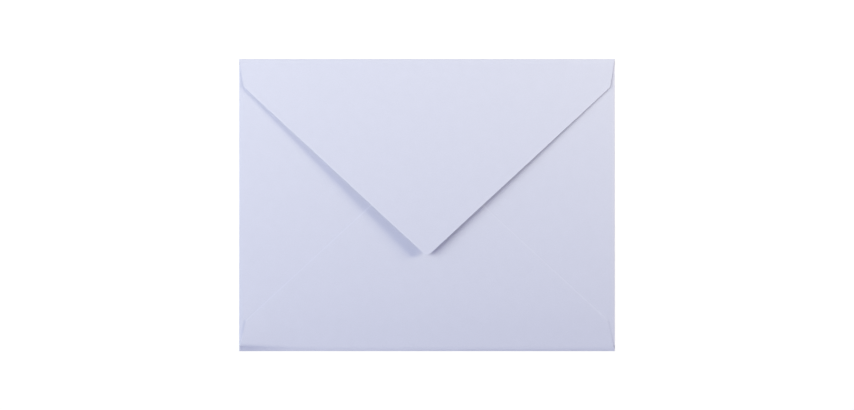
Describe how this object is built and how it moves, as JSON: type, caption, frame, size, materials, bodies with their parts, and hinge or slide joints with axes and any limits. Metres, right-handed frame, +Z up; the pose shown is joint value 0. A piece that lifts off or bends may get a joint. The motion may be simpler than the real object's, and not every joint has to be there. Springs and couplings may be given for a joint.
{
  "type": "paper envelope",
  "caption": "Greeting-card envelope folded from one sheet of paper, with a deep pointed seal flap folded down but not stuck.",
  "frame": {"origin": "middle of the front panel, on the surface that the envelope lies on", "axes": "+X along the top and bottom folds, +Y towards the seal flap's fold, +Z up, out of the flap side"},
  "size_m": [0.18, 0.14, 0.0054],
  "materials": {
    "paper": "matte"
  },
  "bodies": {
    "root": {"envelope": "paper"}
  },
  "joints": []
}
